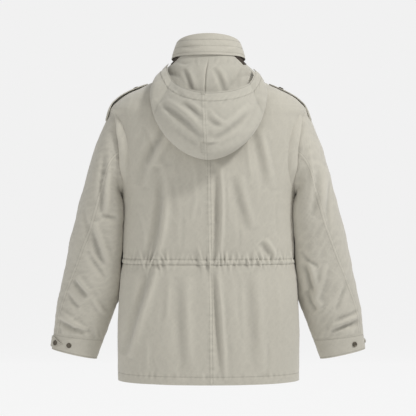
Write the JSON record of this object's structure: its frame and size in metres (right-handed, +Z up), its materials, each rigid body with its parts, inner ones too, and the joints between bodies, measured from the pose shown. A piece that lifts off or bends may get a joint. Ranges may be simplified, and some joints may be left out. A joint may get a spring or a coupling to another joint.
{
  "type": "hooded field jacket",
  "caption": "Hooded cotton field jacket, filled out as when worn, with stand collar, hood hanging down the back, shoulder straps, drawcord waist and cuff tabs.",
  "frame": {"origin": "middle of the neck opening at the height of the back neck seam, where the jacket hangs on its wearer's neck and shoulders", "axes": "+Z up, +Y towards the back, +X towards the wearer's left"},
  "size_m": [0.7914, 0.3249, 0.8499],
  "materials": {
    "cloth": "washed plain-weave cotton",
    "zip_tape": "dark woven tape with teeth",
    "snap_metal": "darkened ring snap"
  },
  "bodies": {
    "root": {"back_left": "cloth", "back_right": "cloth", "front_left": "cloth", "front_right": "cloth", "sleeve_upper_left": "cloth", "sleeve_upper_right": "cloth", "sleeve_under_left": "cloth", "sleeve_under_right": "cloth", "cuff_left": "cloth", "cuff_right": "cloth", "cuff_tab_left": "cloth", "cuff_tab_right": "cloth", "collar": "cloth", "hood_left": "cloth", "hood_right": "cloth", "placket": "cloth", "shoulder_strap_left": "cloth", "shoulder_strap_right": "cloth", "collar_zip_left": "zip_tape", "collar_zip_right": "zip_tape", "placket_snap_1": "snap_metal", "placket_snap_2": "snap_metal", "placket_snap_3": "snap_metal", "placket_snap_4": "snap_metal", "placket_snap_5": "snap_metal", "placket_snap_6": "snap_metal", "placket_snap_7": "snap_metal", "strap_snap_left": "snap_metal", "strap_snap_right": "snap_metal", "tab_snap_left": "snap_metal", "tab_snap_right": "snap_metal", "spare_snap_left": "snap_metal", "spare_snap_right": "snap_metal"}
  },
  "joints": []
}
